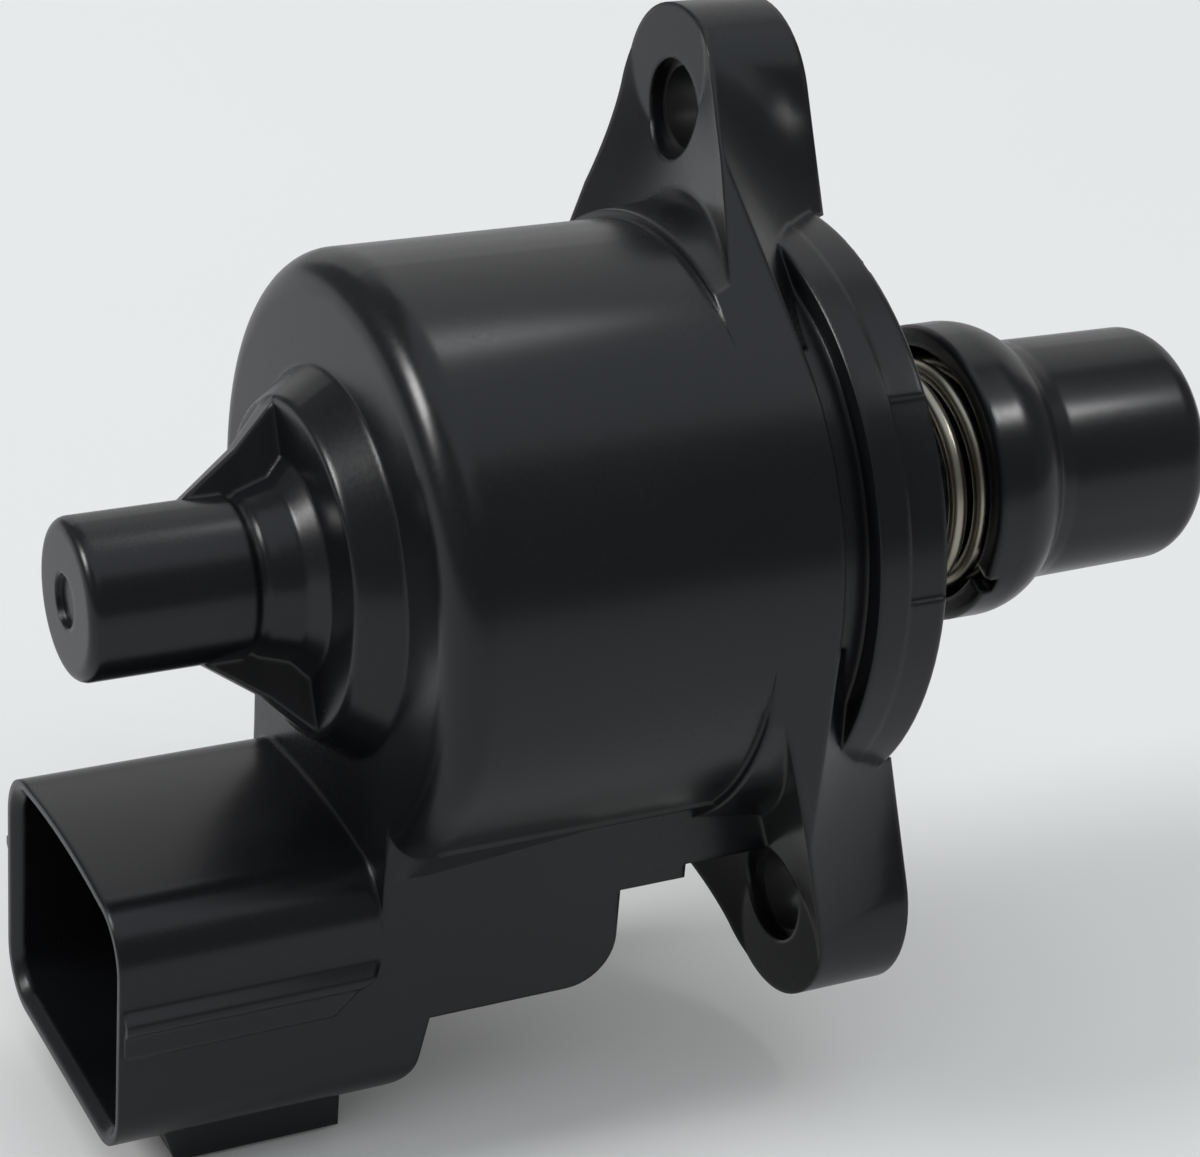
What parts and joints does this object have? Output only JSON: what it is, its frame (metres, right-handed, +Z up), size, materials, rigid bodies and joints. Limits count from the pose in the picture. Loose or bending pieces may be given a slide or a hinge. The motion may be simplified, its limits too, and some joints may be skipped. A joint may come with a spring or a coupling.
{
  "type": "idle air control valve",
  "caption": "Stepper-motor air valve with two screw ears, a plunger driven along its axis by a lead screw, and a connector under the motor.",
  "frame": {"origin": "on the motor's axis, in the plane of the two ears' mounting faces", "axes": "+X along the motor's axis towards the plunger's nose, +Z up with the connector hanging below"},
  "size_m": [0.0791, 0.0394, 0.0673],
  "materials": {
    "black_nylon": "moulded glass-filled nylon, satin",
    "tinned_pin": "tin-plated brass strip",
    "zinc_sleeve": "rolled steel, zinc plated",
    "cover_nylon": "moulded nylon",
    "seal_rubber": "nitrile rubber",
    "bronze": "oil-filled sintered bronze",
    "yoke_steel": "zinc-plated pressed steel",
    "bobbin_nylon": "natural moulded nylon",
    "winding": "enamelled copper wire",
    "bearing_steel": "ground bearing steel",
    "cage_brass": "pressed brass",
    "hub_nylon": "natural moulded nylon",
    "magnet": "sintered ferrite",
    "screw_steel": "rolled stainless steel",
    "plunger_nylon": "moulded nylon, satin",
    "spring_steel": "spring steel wire"
  },
  "bodies": {
    "valve_body": {"housing": "black_nylon", "terminal_1": "tinned_pin", "terminal_2": "tinned_pin", "terminal_3": "tinned_pin", "terminal_4": "tinned_pin", "terminal_5": "tinned_pin", "terminal_6": "tinned_pin", "upper_ear_sleeve": "zinc_sleeve", "lower_ear_sleeve": "zinc_sleeve", "front_cover": "cover_nylon", "face_seal": "seal_rubber", "rear_bush": "bronze", "rear_yoke_cup": "yoke_steel", "rear_pole_plate": "yoke_steel", "rear_bobbin": "bobbin_nylon", "rear_coil": "winding", "front_yoke_cup": "yoke_steel", "front_pole_plate": "yoke_steel", "front_bobbin": "bobbin_nylon", "front_coil": "winding", "bearing_outer_race": "bearing_steel", "return_spring": "spring_steel"},
    "rotor": {"rotor_hub": "hub_nylon", "rotor_magnet": "magnet", "bearing_inner_race": "bearing_steel"},
    "ball_set": {"bearing_balls": "bearing_steel", "bearing_cage": "cage_brass"},
    "plunger_unit": {"lead_screw": "screw_steel", "plunger": "plunger_nylon"}
  },
  "joints": [
    {"name": "rotor_spin", "type": "hinge", "parent": "valve_body", "child": "rotor", "pos_m": [0, 0, 0], "axis": [1, 0, 0], "range_deg": [-787.5, 1012.5]},
    {"name": "cage_spin", "type": "hinge", "parent": "valve_body", "child": "ball_set", "pos_m": [0, 0, 0], "axis": [1, 0, 0], "range_deg": [-315.1, 405.1]},
    {"name": "screw_slide", "type": "slide", "parent": "valve_body", "child": "plunger_unit", "axis": [1, 0, 0], "range_m": [-0.0045, 0.0035], "deforming": ["return_spring"]}
  ],
  "couplings": [
    {"joint": "cage_spin", "follows": "rotor_spin", "ratio": 0.4},
    {"joint": "screw_slide", "follows": "rotor_spin", "m_per_rad": -0.00025465}
  ]
}
